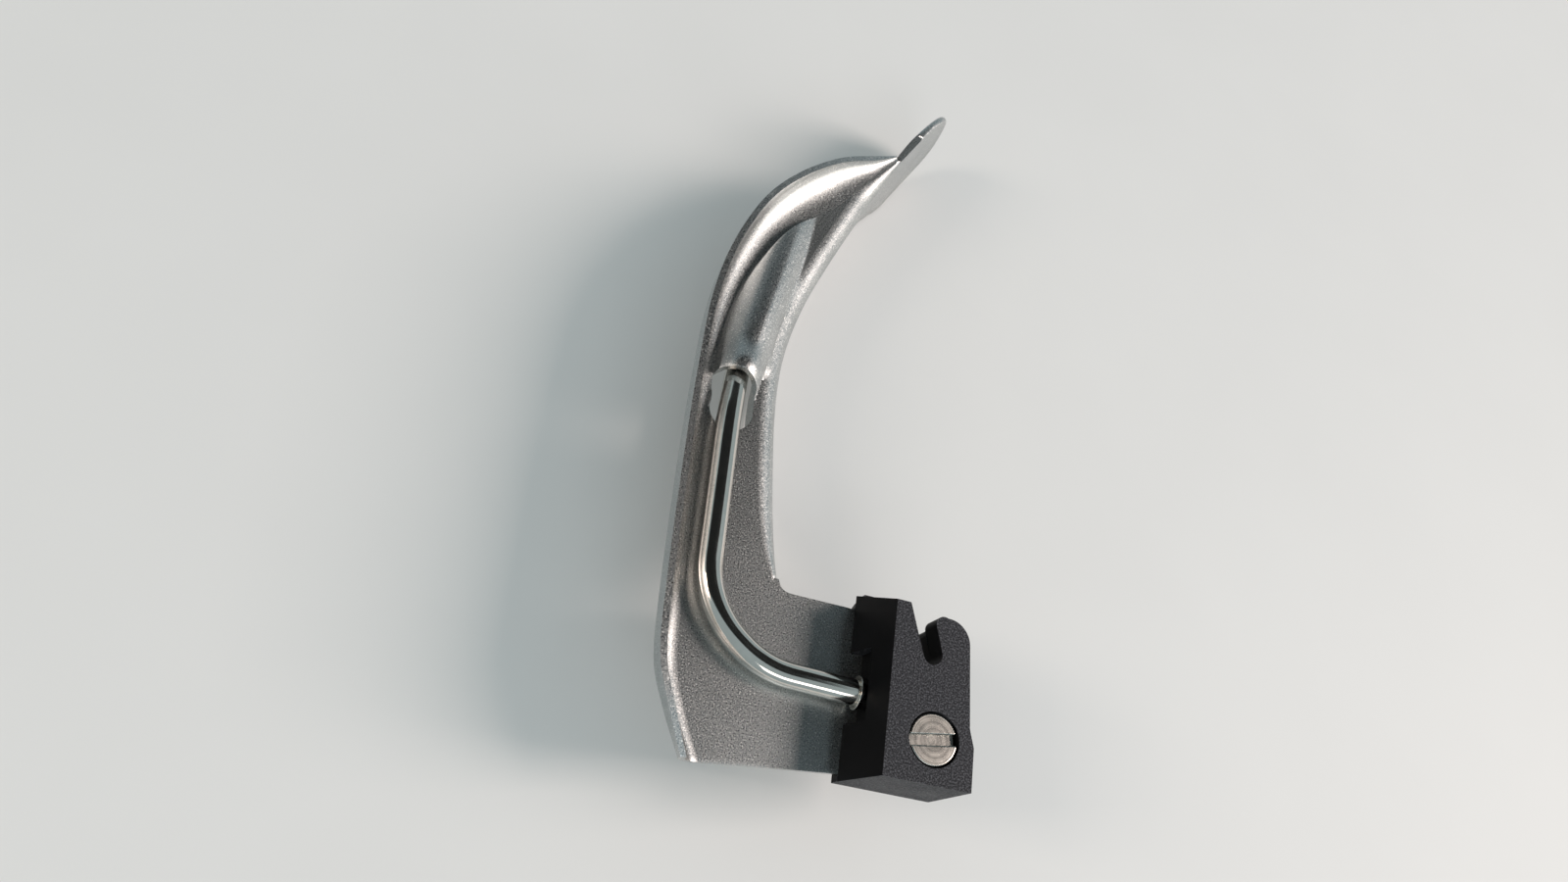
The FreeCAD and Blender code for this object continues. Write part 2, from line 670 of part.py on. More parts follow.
POTTING = 1.2
POTTING_GAP = 0.02
inner_route = list(TUBE_ROUTE)
inner_route[0] = tube_start + tube_start_heading * POTTING
inner_route[-1] = tube_end - tube_end_heading * POTTING
inner_path = rounded_path(inner_route, TUBE_BENDS)
light_tube = rod(inner_path, size("tube_radius")).cut(rod(tube_path, size("tube_bore")))
solid_piece("light_tube", light_tube)
solid_piece("fibre_bundle", rod(tube_path, size("bundle_radius")))


def potting_ring(start, heading):
    """A ring of resin around the fibres at one end of the tube."""
    length = POTTING - POTTING_GAP
    outside = Part.makeCylinder(size("tube_radius"), length, start, heading)
    return outside.cut(Part.makeCylinder(size("tube_bore"), length, start, heading))


def bent_sleeve(shape):
    """Opens a fitting for the tube where the tube already bends inside it."""
    return shape.cut(rod(tube_path, size("tube_radius")))


solid_piece("inlet_ferrule", bent_sleeve(Part.makeCylinder(
    size("inlet_radius"), size("inlet_length"), tube_start, tube_start_heading)))
solid_piece("outlet_ferrule", bent_sleeve(Part.makeCylinder(
    size("outlet_radius"), size("outlet_length"), tube_end, tube_end_heading * -1)))
solid_piece("bundle_potting", Part.makeCompound([
    potting_ring(tube_start, tube_start_heading),
    potting_ring(tube_end, tube_end_heading * -1),
]))

# Collar: flared ring that stands on the floor of the block's recess, around the tube.
run = (TUBE_ROUTE[3] - TUBE_ROUTE[2]).normalize()
to_floor = (side_near - TUBE_ROUTE[2].x) / run.x
collar_at = TUBE_ROUTE[2] + run * (to_floor + size("collar_gap"))
collar = Part.makeCone(
    size("collar_foot"), size("collar_radius"), size("collar_height"), collar_at, run)
solid_piece("tube_collar", bent_sleeve(collar))

# ---------------------------------------------------------------- checks and export

doc.recompute()
NODES = [
    "blade_sheet", "heel_block", "heel_cover", "heel_screw", "screw_washer", "screw_insert",
    "detent_sleeve", "detent_ball", "detent_spring", "locating_pins", "light_tube", "fibre_bundle",
    "inlet_ferrule", "outlet_ferrule", "bundle_potting", "tube_collar",
]
for item in doc.Objects:
    if "Invalid" in item.State or "Error" in item.State:
        raise ValueError("%s failed: %s" % (item.Label, item.State))
for node in NODES:
    piece = doc.getObjectsByLabel(node)[0]
    if piece.Shape.isNull() or not piece.Shape.isValid() or not piece.Shape.Solids:
        raise ValueError(node + " has no valid shape")
    piece.Shape.exportStep("parts/%s.step" % node)
    bounds = piece.Shape.BoundBox
    print("%-15s %2d solids %9.2f mm3  x %6.1f %6.1f  y %6.1f %6.1f  z %6.1f %6.1f" % (
        node, len(piece.Shape.Solids), piece.Shape.Volume,
        bounds.XMin, bounds.XMax, bounds.YMin, bounds.YMax, bounds.ZMin, bounds.ZMax))
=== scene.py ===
import math

import bmesh
import bpy
from mathutils import Matrix, Quaternion, Vector


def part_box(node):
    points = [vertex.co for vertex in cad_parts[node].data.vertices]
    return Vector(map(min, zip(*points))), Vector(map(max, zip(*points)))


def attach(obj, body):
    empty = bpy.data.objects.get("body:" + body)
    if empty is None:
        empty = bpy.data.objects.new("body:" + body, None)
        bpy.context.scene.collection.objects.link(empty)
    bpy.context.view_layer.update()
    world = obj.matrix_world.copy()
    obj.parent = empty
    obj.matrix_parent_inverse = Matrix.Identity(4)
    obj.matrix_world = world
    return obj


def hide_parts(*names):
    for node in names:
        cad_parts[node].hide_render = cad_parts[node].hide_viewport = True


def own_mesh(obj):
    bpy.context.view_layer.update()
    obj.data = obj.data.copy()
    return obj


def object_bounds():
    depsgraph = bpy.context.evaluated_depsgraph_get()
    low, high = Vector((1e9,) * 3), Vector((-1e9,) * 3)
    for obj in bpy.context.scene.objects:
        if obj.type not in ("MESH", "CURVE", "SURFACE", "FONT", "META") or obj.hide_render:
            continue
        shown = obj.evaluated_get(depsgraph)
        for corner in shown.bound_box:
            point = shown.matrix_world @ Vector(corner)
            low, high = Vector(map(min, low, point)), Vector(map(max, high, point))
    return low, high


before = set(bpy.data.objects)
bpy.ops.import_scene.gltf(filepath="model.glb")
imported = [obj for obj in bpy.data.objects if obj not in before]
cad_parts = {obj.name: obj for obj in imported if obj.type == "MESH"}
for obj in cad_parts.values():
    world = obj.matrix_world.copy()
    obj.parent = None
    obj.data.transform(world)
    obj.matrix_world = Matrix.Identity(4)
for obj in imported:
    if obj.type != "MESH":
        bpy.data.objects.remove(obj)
cad_low, cad_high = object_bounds()

# ---------------------------------------------------------------- stamped blade: lines of the sheet
# One sheet of 1 mm stainless steel, pressed into a web, a tongue flange along one side and a curved
# spatula along the other. These are its lines in mm, along the blade: each is (y, x) or (y, z).

MM = 0.001
GAUGE = 1.0
WEB_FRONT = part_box("heel_cover")[1].z / MM
FLANGE_SIDE = [
    (-19.9, -32.9), (-13.2, -36.4), (-7.6, -38.6), (1.5, -39.5), (20.0, -40.3), (38.0, -40.6),
    (52.0, -40.1), (64.4, -37.3), (76.0, -31.8), (87.0, -21.6), (94.6, -9.6),
]
FLANGE_RIM = [
    (-19.9, -0.7), (-12.0, 1.7), (0.0, 2.35), (40.0, 2.35), (62.0, 1.9), (76.0, 0.7), (87.0, -1.2),
    (94.6, -4.1),
]
SPATULA_SIDE = [
    (8.8, -21.2), (24.0, -23.2), (38.0, -24.7), (48.0, -24.6), (58.0, -22.6), (68.5, -19.0),
    (80.5, -14.2), (93.6, -8.6), (102.2, -4.0), (111.0, 1.6),
]
SPATULA_EDGE = [
    (9.0, -10.8), (20.0, -16.0), (34.0, -19.4), (50.0, -20.7), (80.0, -20.7), (99.0, -20.7),
]
SEAM_MATCH = [
    (-19.9, -18.7), (1.5, 1.5), (9.3, 9.3), (52.0, 51.0), (64.4, 60.5), (76.0, 70.5), (87.0, 81.5),
    (94.6, 93.6),
]


def along(line, place):
    """The value of a smooth line at a place along the blade."""
    last = len(line) - 2
    step = next((i for i in range(last + 1) if place <= line[i + 1][0]), last)
    (y0, v0), (y1, v1) = line[step], line[step + 1]
    slopes = []
    for i in (step, step + 1):
        before = line[max(i - 1, 0)]
        after = line[min(i + 1, last + 1)]
        slopes.append((after[1] - before[1]) / (after[0] - before[0]))
    run = y1 - y0
    t = (place - y0) / run
    return ((2 * t**3 - 3 * t**2 + 1) * v0 + (t**3 - 2 * t**2 + t) * run * slopes[0]
            + (3 * t**2 - 2 * t**3) * v1 + (t**3 - t**2) * run * slopes[1])


SIDE_NUDGE = 0.05


def side_point(line, place):
    """A point of a side line and the direction there that points across the blade to the left."""
    ahead, behind = along(line, place + SIDE_NUDGE), along(line, place - SIDE_NUDGE)
    heading = Vector((ahead - behind, 2 * SIDE_NUDGE, 0)).normalized()
    return Vector((along(line, place), place, 0)), Vector((-heading.y, heading.x, 0))


def spread(first, last, count, ends=1.0):
    """Numbers from first to last, set closer together near both ends where ends is above 1."""
    numbers = []
    for i in range(count + 1):
        t = 2 * i / count - 1
        t = math.copysign(1 - (1 - abs(t)) ** ends, t)
        numbers.append(first + (last - first) * (t + 1) / 2)
    return numbers


# ---------------------------------------------------------------- stamped blade: hood over the tube
# The web is pressed out into a half-round hood over the light's exit. It is highest at its mouth, which
# stands as a lip round the tube, and its crest runs down to nothing towards the tip.

HOOD_BASE = Vector((-33.0, 39.7, 0))
HOOD_END = Vector((-25.8, 78.5, 0))
HOOD_CREST = [
    (-6.0, 0.0), (-3.0, 2.8), (0.0, 4.2), (1.8, 4.55), (4.0, 4.1), (6.0, 3.7), (10.0, 3.55), (18.0, 3.0),
    (28.0, 2.1), (34.0, 1.4), (37.5, 0.7), (39.4, 0.0),
]
HOOD_LEFT = [(-6.0, 4.2), (0.0, 4.1), (3.0, 4.3), (7.0, 5.2), (18.0, 5.6), (30.0, 5.2), (39.4, 4.2)]
HOOD_RIGHT = [(-6.0, 4.0), (0.0, 3.9), (3.0, 4.0), (7.0, 4.3), (18.0, 4.1), (30.0, 3.6), (39.4, 2.6)]
HOOD_ROUND = [(-6.0, 0.7), (0.0, 0.62), (3.0, 0.65), (7.0, 1.0), (14.0, 1.2), (39.4, 1.3)]
HOOD_NUDGE = 0.1
hood_way = (HOOD_END - HOOD_BASE).normalized()


def hood_height(point):
    """How far the web is pressed out at a point, in mm."""
    offset = Vector((point.x, point.y, 0)) - HOOD_BASE
    run = offset.dot(hood_way)
    if not HOOD_CREST[0][0] < run < HOOD_CREST[-1][0]:
        return 0.0
    across = hood_way.x * offset.y - hood_way.y * offset.x
    side = abs(across) / along(HOOD_LEFT if across > 0 else HOOD_RIGHT, run)
    if side >= 1:
        return 0.0
    return max(along(HOOD_CREST, run), 0.0) * (1 - side * side) ** along(HOOD_ROUND, run)


def web_pair(point):
    """Front and back of the web at a point, with the hood pressed into it."""
    slopes = []
    for step in (Vector((HOOD_NUDGE, 0, 0)), Vector((0, HOOD_NUDGE, 0))):
        slopes.append((hood_height(point + step) - hood_height(point - step)) / (2 * HOOD_NUDGE))
    normal = Vector((-slopes[0], -slopes[1], 1)).normalized()
    front = Vector((point.x, point.y, WEB_FRONT + hood_height(point)))
    return front, front - normal * GAUGE


# ---------------------------------------------------------------- stamped blade: the sheet itself
# Each row crosses the sheet from the flange's free edge, round its bend, over the web and down the
# spatula. The tang is a second patch beside the web, and the last rows are the spatula's tip.

FLANGE_BEND = 3.0
FLANGE_LEAN = 0.3
FLANGE_HEIGHT = 6.8
FLANGE_REACH = [(-19.9, 3.0), (50.0, 3.2), (70.0, 4.8), (82.0, 6.0), (95.0, 6.0)]
TIP_LEAN = 0.12
TIP_LEAN_START, TIP_LEAN_RUN = 86, 12
SPATULA_BEND = [(9.3, 0.9), (14.0, 2.3), (22.0, 3.3), (40.0, 3.4), (120.0, 3.4)]
FLANGE_STEPS, WEB_STEPS, BEND_STEPS, DEPTH_STEPS = 5, 44, 7, 22
CORNER_START = 9.3
TANG_RIGHT = -5.6
corner, corner_left = side_point(SPATULA_SIDE, CORNER_START)
TANG_FIRST = (corner + corner_left * along(SPATULA_BEND, CORNER_START)).x


def flange_pairs(place, room):
    """Front and back points of the flange and its bend, and where the web starts."""
    foot, left = side_point(FLANGE_SIDE, place)
    rim = along(FLANGE_RIM, place)
    height = rim - WEB_FRONT
    # Towards the tip the flange gets low and the web narrow, and the bend shrinks to fit them.
    bend = min(FLANGE_BEND, 0.85 * height, 0.5 * room)
    reach = min(along(FLANGE_REACH, place), 0.55 * room)
    wall = GAUGE * min(1.0, height / 1.5)
    pairs = []
    for z in spread(rim, WEB_FRONT + bend, FLANGE_STEPS):
        lean = FLANGE_LEAN * max(z - WEB_FRONT - bend, 0) / FLANGE_HEIGHT
        outer = foot + left * lean + Vector((0, 0, z))
        pairs.append((outer - left * wall, outer))
    centre = foot - left * (wall + reach) + Vector((0, 0, WEB_FRONT + bend))
    for i in range(1, BEND_STEPS + 1):
        turn = math.pi / 2 * i / BEND_STEPS
        inner = left * reach * math.cos(turn) - Vector((0, 0, bend * math.sin(turn)))
        outer = left * (reach + wall) * math.cos(turn) - Vector((0, 0, (bend + GAUGE) * math.sin(turn)))
        pairs.append((centre + inner, centre + outer))
    return pairs, foot - left * (wall + reach)


def tip_lean(place, z):
    """How far the spatula's face leans to the right towards its far edge, which it does near the tip."""
    share = min(max((place - TIP_LEAN_START) / TIP_LEAN_RUN, 0.0), 1.0)
    return TIP_LEAN * max(WEB_FRONT - z, 0.0) * share * share * (3 - 2 * share)


def spatula_pairs(seam, left, bend, near, far):
    """Front and back points of the spatula from its bend, or its near edge, to its far edge."""
    pairs = []
    for i in range(BEND_STEPS + 1):
        turn = math.pi / 2 * i / BEND_STEPS
        front = seam + left * bend * (1 - math.sin(turn))
        front += Vector((0, 0, near - bend * (1 - math.cos(turn))))
        inner = max(bend - GAUGE, 0.0)
        back = seam + left * (max(bend, GAUGE) - inner * math.sin(turn))
        back += Vector((0, 0, near - max(bend, GAUGE) + inner * math.cos(turn)))
        pairs.append((front, back))
    for z in spread(near - bend, far, DEPTH_STEPS, 1.7)[1:]:
        front = seam + Vector((0, 0, z)) - left * tip_lean(seam.y, z)
        pairs.append((front, front + left * GAUGE))
    return pairs


def patch(mesh, rows, shared, twins):
    """Adds a grid of front and back points as two skins, which share vertices with their neighbours."""
    skins = ([], [])
    for row in rows:
        for side in (0, 1):
            line = []
            for pair in row:
                key = (side, *(round(value, 3) for value in pair[side]))
                if key not in shared:
                    shared[key] = mesh.verts.new(pair[side] * MM)
                line.append(shared[key])
            skins[side].append(line)
        twins.update(zip(skins[0][-1], skins[1][-1]))
    for side, skin in enumerate(skins):
        for upper, lower in zip(skin, skin[1:]):
            for i in range(len(upper) - 1):
                corners = list(dict.fromkeys([upper[i], upper[i + 1], lower[i + 1], lower[i]]))
                if len(corners) > 2:
                    mesh.faces.new(corners if side == 0 else corners[::-1])


def close_rims(mesh, twins):
    """Joins the two skins of a sheet along each open edge of the front one."""
    for edge in [e for e in mesh.edges if e.is_boundary and e.verts[0] in twins and e.verts[1] in twins]:
        loop = edge.link_loops[0]
        start, end = loop.vert, loop.link_loop_next.vert
        corners = list(dict.fromkeys([end, start, twins[start], twins[end]]))
        if len(corners) > 2:
            mesh.faces.new(corners)


HEEL = -19.9
HEEL_BLEND = 14.0
TANG_X = [TANG_FIRST, -21.8, -21.5, -21.2, -20.8, -20.4, -19.9, -19.3, -18.4, -16.5, -14.5, -12.5,
          -11.0, -10.0, -9.3, -8.6, -7.5, TANG_RIGHT]
TANG_FILLET = 2.0
TANG_TOP = 7.5
TANG_CORNER = 2.6
TANG_SIDE = -6.9
TANG_BOTTOM = HEEL + 1.2
TANG_SLOPE = 0.1
FILLET_GAP = 0.2
CLOSE = 0.001


def tang_top(x):
    """The tang's top edge: a fillet beside the spatula, then straight, then rounded down at the block."""
    fillet_middle = corner.x + FILLET_GAP + TANG_FILLET
    if x < fillet_middle - TANG_FILLET:
        return CORNER_START
    if x < fillet_middle:
        drop = math.sqrt(TANG_FILLET**2 - (fillet_middle - x) ** 2) / TANG_FILLET
        return CORNER_START - drop * (CORNER_START - TANG_TOP)
    corner_middle = TANG_SIDE - TANG_CORNER
    if x < corner_middle:
        return TANG_TOP
    return TANG_TOP - TANG_CORNER + math.sqrt(max(TANG_CORNER**2 - (x - corner_middle) ** 2, 0.0))


sheet = bmesh.new()
shared, twins = {}, {}
rows, tang_rows = [], []
FINE_START, ROWS_END = 90.0, FLANGE_SIDE[-1][0]
places = spread(HEEL, CORNER_START, 27, 1.2)
places += spread(CORNER_START, FINE_START, 84)[1:]
places += spread(FINE_START, ROWS_END, 9)[1:]
for place in places:
    seam_place = along(SEAM_MATCH, place)
    seam, left = side_point(SPATULA_SIDE, max(seam_place, CORNER_START))
    room = (Vector((along(FLANGE_SIDE, place), place, 0)) - seam).length
    bend = min(along(SPATULA_BEND, max(seam_place, CORNER_START)), 0.4 * room)
    pairs, web_start = flange_pairs(place, room)
    web_end = Vector((TANG_FIRST, seam_place, 0)) if place < CORNER_START else seam + left * bend
    for i in range(1, WEB_STEPS + 1):
        pairs.append(web_pair(web_start.lerp(web_end, i / WEB_STEPS)))
    pull = max(1 - (place - HEEL) / HEEL_BLEND, 0.0)
    side = along(FLANGE_SIDE, place)
    rise = (seam_place - place) / (web_end.x - side)
    for pair in pairs:
        for point in pair:
            level = place + rise * (point.x - side)
            point.y += (level - point.y) * pull
    if place < CORNER_START + CLOSE:
        share = (seam_place - TANG_BOTTOM) / (CORNER_START - TANG_BOTTOM)
        tang_row = [pairs[-1]]
        for x in TANG_X[1:]:
            bottom = TANG_BOTTOM + (x - TANG_FIRST) * TANG_SLOPE
            level = bottom + (tang_top(x) - bottom) * share
            tang_row.append(web_pair(Vector((x, level, 0))))
        tang_rows.append(tang_row)
    if place >= CORNER_START:
        depth = along(SPATULA_EDGE, seam_place)
        pairs += spatula_pairs(seam, left, bend, WEB_FRONT, depth)[1:]
    rows.append(pairs)
short = FLANGE_STEPS + BEND_STEPS + WEB_STEPS + 1
blade_part = [row for row in rows if len(row) > short]
patch(sheet, [row[:short] for row in rows], shared, twins)
patch(sheet, tang_rows, shared, twins)

# Spatula, with its tip: the far rows bow out to a rounded end, which is thickened into a bead. The
# outline is (z, y), and the rows are closer together towards the end.
TIP_FIRST = SEAM_MATCH[-1][1]
TIP_OUTLINE = [
    (-20.9, 99.0), (-20.3, 103.6), (-19.2, 106.4), (-17.9, 108.7), (-16.2, 110.3), (-13.5, 111.1),
    (-10.5, 111.1), (-8.0, 110.6), (-6.4, 109.6), (-5.3, 107.9), (-4.6, 105.2), (-4.4, 102.5),
]
TIP_LOW, TIP_HIGH = TIP_OUTLINE[0][0], TIP_OUTLINE[-1][0]
TIP_NUDGE = 0.3
BEAD = 0.68
BEAD_FADE = 1.6
THINNEST = 0.12
EDGE_LEAN = 1.15
tip_steps = [i / 16 for i in range(1, 15)] + [0.9, 0.92, 0.94, 0.955, 0.97, 0.98, 0.99, 1.0]


def tip_swell(distance):
    """Half the sheet's thickness at a distance from the tip's edge, which is a round bead."""
    fade = 1 - min(max((distance - BEAD) / BEAD_FADE, 0.0), 1.0)
    swell = GAUGE / 2 + (BEAD - GAUGE / 2) * fade * fade * (3 - 2 * fade)
    if distance >= BEAD:
        return swell
    return min(swell, max(math.sqrt(max(BEAD**2 - (distance - BEAD) ** 2, 0.0)), THINNEST))


spatula_rows = [row[short - 1:] for row in blade_part]
tip_first_row = spatula_rows[-1]
for step in tip_steps:
    tip_row = []
    for front, back in tip_first_row:
        z = front.z
        reach = along(TIP_OUTLINE, min(max(z, TIP_LOW), TIP_HIGH))
        place = TIP_FIRST + (reach - TIP_FIRST) * step
        seam, left = side_point(SPATULA_SIDE, place)
        above = along(TIP_OUTLINE, min(z + TIP_NUDGE, TIP_HIGH))
        below = along(TIP_OUTLINE, max(z - TIP_NUDGE, TIP_LOW))
        slope = (above - below) / (2 * TIP_NUDGE)
        swell = tip_swell((reach - place) * EDGE_LEAN / math.sqrt(1 + slope**2))
        middle = seam + left * (GAUGE / 2 - tip_lean(place, z)) + Vector((0, 0, z))
        tip_row.append((middle - left * swell, middle + left * swell))
    spatula_rows.append(tip_row)
patch(sheet, spatula_rows, shared, twins)
close_rims(sheet, twins)
bmesh.ops.remove_doubles(sheet, verts=sheet.verts, dist=0.000005)
bmesh.ops.recalc_face_normals(sheet, faces=sheet.faces)


def piece_from(mesh, name):
    """A new object that holds a finished mesh, with smooth shading."""
    data = bpy.data.meshes.new(name)
    mesh.to_mesh(data)
    mesh.free()
    data.shade_smooth()
    piece = bpy.data.objects.new(name, data)
    bpy.context.scene.collection.objects.link(piece)
    return piece


blade = piece_from(sheet, "blade_stamping")


def apply_steps(piece):
    """Makes a piece's modifiers part of its mesh."""
    bpy.context.view_layer.update()
    shape = piece.evaluated_get(bpy.context.evaluated_depsgraph_get())
    data = bpy.data.meshes.new_from_object(shape)
    piece.modifiers.clear()
    piece.data = data


def cut_with(piece, cutter):
    """Cuts a closed mesh out of a piece, and removes the cutter."""
    tool = piece_from(cutter, "cutter")
    step = piece.modifiers.new("cut", "BOOLEAN")
    step.operation = "DIFFERENCE"
    step.solver = "EXACT"
    step.object = tool
    apply_steps(piece)
    bpy.data.objects.remove(tool)


# Hole where the tube dips behind the web: round towards the heel, straight-sided, and bowed at the mouth.
HOLE_CENTRE = Vector((-32.8, 34.8, 0))
HOLE_RADIUS = 3.6
MOUTH_RADIUS = 3.75
MOUTH_SETBACK, MOUTH_BOW = 0.4, 0.9
HOLE_LOW, HOLE_HIGH = -9, 6
outline = []
for i in range(21):
    turn = math.pi + math.pi * i / 20
    outline.append(HOLE_CENTRE + Vector((math.cos(turn), math.sin(turn), 0)) * HOLE_RADIUS)
across = Vector((hood_way.y, -hood_way.x, 0))
mouth = HOOD_BASE - hood_way * MOUTH_SETBACK
for i in range(13):
    side = 1 - i / 6
    outline.append(mouth + across * MOUTH_RADIUS * side + hood_way * MOUTH_BOW * (1 - side * side))


def add_shell(mesh, outline, bottom, top):
    """Adds a closed straight-sided shell on an outline, in mm."""
    floor_ring = [mesh.verts.new((p + Vector((0, 0, bottom))) * MM) for p in outline]
    roof_ring = [mesh.verts.new((p + Vector((0, 0, top))) * MM) for p in outline]
    mesh.faces.new(floor_ring[::-1])
    mesh.faces.new(roof_ring)
    for i in range(len(outline)):
        mesh.faces.new([floor_ring[i - 1], floor_ring[i], roof_ring[i], roof_ring[i - 1]])


cutter = bmesh.new()
add_shell(cutter, outline, HOLE_LOW, HOLE_HIGH)
cut_with(blade, cutter)


def soften(piece, width, sharp=38, steps=3):
    """Rounds a piece's sharp edges by a width in mm, and shades it smooth."""
    bevel = piece.modifiers.new("edges", "BEVEL")
    bevel.width = width * MM
    bevel.segments = steps
    bevel.limit_method = "ANGLE"
    bevel.angle_limit = math.radians(sharp)
    bevel.miter_outer = "MITER_ARC"
    apply_steps(piece)
    piece.data.shade_smooth()
    even = piece.modifiers.new("even_shading", "WEIGHTED_NORMAL")
    even.weight = 80
    apply_steps(piece)


soften(blade, 0.22)


def linear(colour):
    """A colour written as sRGB hex, as the linear values that a shader takes."""
    parts = [int(colour[i:i + 2], 16) / 255 for i in (1, 3, 5)]
    return [p / 12.92 if p <= 0.04045 else ((p + 0.055) / 1.055) ** 2.4 for p in parts] + [1.0]


def node(material, kind, settings=None, links=None):
    """Adds a node to a material, sets its values and joins its inputs."""
    tree = material.node_tree
    new = tree.nodes.new(kind)
    for name, value in (settings or {}).items():
        if isinstance(name, int) or name in new.inputs:
            new.inputs[name].default_value = value
        else:
            setattr(new, name, value)
    for name, source in (links or {}).items():
        tree.links.new(source, new.inputs[name])
    return new


def new_material(name):
    """An empty material and its output node."""
    material = bpy.data.materials.new(name)
    material.use_nodes = True
    material.node_tree.nodes.clear()
    return material, node(material, "ShaderNodeOutputMaterial")


def ramp(material, source, stops):
    """A colour ramp from (place, sRGB hex) stops."""
    new = node(material, "ShaderNodeValToRGB", links={"Fac": source})
    new.color_ramp.elements[0].position = stops[0][0]
    new.color_ramp.elements[0].color = linear(stops[0][1])
    new.color_ramp.elements[1].position = stops[-1][0]
    new.color_ramp.elements[1].color = linear(stops[-1][1])
    for place, colour in stops[1:-1]:
        new.color_ramp.elements.new(place).color = linear(colour)
    return new


# Tumbled stainless steel: barrel tumbling leaves a satin skin with fine pits and bright specks.
# Real pits are about 0.1 mm, and here they are drawn at 0.22 mm so that they show.
SPECK = 0.22 * MM
CLOUD = 9 * MM
tumbled, end = new_material("tumbled_stainless_steel")
where = node(tumbled, "ShaderNodeTexCoord").outputs["Object"]
specks = node(tumbled, "ShaderNodeTexNoise", {"Scale": 1 / SPECK, "Detail": 3.0, "Roughness": 0.65},
              {"Vector": where})
clouds = node(tumbled, "ShaderNodeTexNoise", {"Scale": 1 / CLOUD, "Detail": 4.0, "Roughness": 0.6},
              {"Vector": where})
tone = ramp(tumbled, clouds.outputs["Fac"], [(0.3, "#a9acac"), (0.7, "#b8baba")])
bright = ramp(tumbled, specks.outputs["Fac"], [(0.56, "#000000"), (0.68, "#ffffff")])
colour = node(tumbled, "ShaderNodeMix", {"data_type": "RGBA", "B": linear("#fbfbf8")},
              {"Factor": bright.outputs["Color"], "A": tone.outputs["Color"]})
satin = node(tumbled, "ShaderNodeMapRange",
             {"From Min": 0.38, "From Max": 0.64, "To Min": 0.26, "To Max": 0.48},
             {"Value": specks.outputs["Fac"]})
pits = node(tumbled, "ShaderNodeBump", {"Strength": 0.45, "Distance": 0.03 * MM},
            {"Height": specks.outputs["Fac"]})
steel = node(tumbled, "ShaderNodeBsdfPrincipled", {"Metallic": 1.0},
             {"Base Color": colour.outputs[2], "Roughness": satin.outputs["Result"],
              "Normal": pits.outputs["Normal"]})
tumbled.node_tree.links.new(steel.outputs["BSDF"], end.inputs["Surface"])


def fit(piece, material, body, slot, *nodes):
    """Gives a piece its material, and says which body it rides on and which CAD nodes it stands for."""
    piece.data.materials.clear()
    piece.data.materials.append(material)
    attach(piece, body)
    if nodes:
        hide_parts(*nodes)


fit(blade, tumbled, "blade", "blade_steel", "blade_sheet")

# ---------------------------------------------------------------- heel: moulded block and its cover
# A glass-filled black nylon block that hooks over the handle's bar, and a thin cover on its far side.
# Both are injection moulded, so their edges have small radii. The near face and the heel end have a
# spark-eroded grain, drawn coarser than the real one at 0.25 mm, and the other faces are smooth.
# The faces are told apart by which way they point. The smooth ones, the left side and the top, turn
# away from the lights and are painted far darker, as painted shade.


def softened_copy(source, name, width, sharp=30, steps=3):
    """A copy of a CAD node with its flat faces merged and its edges rounded."""
    mesh = bmesh.new()
    mesh.from_mesh(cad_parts[source].data)
    bmesh.ops.remove_doubles(mesh, verts=mesh.verts, dist=0.000002)
    bmesh.ops.dissolve_limit(mesh, angle_limit=math.radians(0.8), verts=mesh.verts, edges=mesh.edges)
    piece = piece_from(mesh, name)
    soften(piece, width, sharp, steps)
    return piece


block = softened_copy("heel_block", "heel_moulding", 0.4)
cover = softened_copy("heel_cover", "cover_moulding", 0.22)

GRAIN = 0.25 * MM
nylon, end = new_material("moulded_black_nylon")
where = node(nylon, "ShaderNodeTexCoord").outputs["Object"]
grain = node(nylon, "ShaderNodeTexNoise", {"Scale": 1 / GRAIN, "Detail": 2.0, "Roughness": 0.5},
             {"Vector": where})
flow = node(nylon, "ShaderNodeTexNoise", {"Scale": 1 / (6 * MM), "Detail": 3.0}, {"Vector": where})
# Painted shade mask: faces pointing towards the lit near side and the heel end count as grained and lit,
# and all others get the far darker smooth colour.
facing = node(nylon, "ShaderNodeVectorMath", {"operation": "DOT_PRODUCT", 1: (0, -0.72, 0.69)},
              {0: node(nylon, "ShaderNodeTexCoord").outputs["Normal"]})
grain_and_lit_faces = node(nylon, "ShaderNodeMapRange", {"From Min": 0.45, "From Max": 0.62},
             {"Value": facing.outputs["Value"]})
grained = ramp(nylon, grain.outputs["Fac"], [(0.38, "#27272a"), (0.5, "#363639"), (0.64, "#57575b")])
# Painted shade: this near-black colour stands for the shade on the faces that turn away from the lights,
# on top of their smooth finish.
smooth = ramp(nylon, flow.outputs["Fac"], [(0.35, "#08080a"), (0.7, "#0e0e10")])
tone = node(nylon, "ShaderNodeMix", {"data_type": "RGBA"},
            {"Factor": grain_and_lit_faces.outputs["Result"], 6: smooth.outputs["Color"], 7: grained.outputs["Color"]})
sheen = node(nylon, "ShaderNodeMapRange",
             {"From Min": 0.3, "From Max": 0.7, "To Min": 0.42, "To Max": 0.52},
             {"Value": flow.outputs["Fac"]})
bumps = node(nylon, "ShaderNodeBump", {"Distance": 0.06 * MM},
             {"Height": grain.outputs["Fac"], "Strength": grain_and_lit_faces.outputs["Result"]})
plastic = node(nylon, "ShaderNodeBsdfPrincipled", {"IOR": 1.53, "Specular IOR Level": 0.07},
               {"Base Color": tone.outputs[2], "Roughness": sheen.outputs["Result"],
                "Normal": bumps.outputs["Normal"]})
nylon.node_tree.links.new(plastic.outputs["BSDF"], end.inputs["Surface"])
fit(block, nylon, "blade", "black_nylon", "heel_block")
fit(cover, nylon, "blade", "black_nylon", "heel_cover")

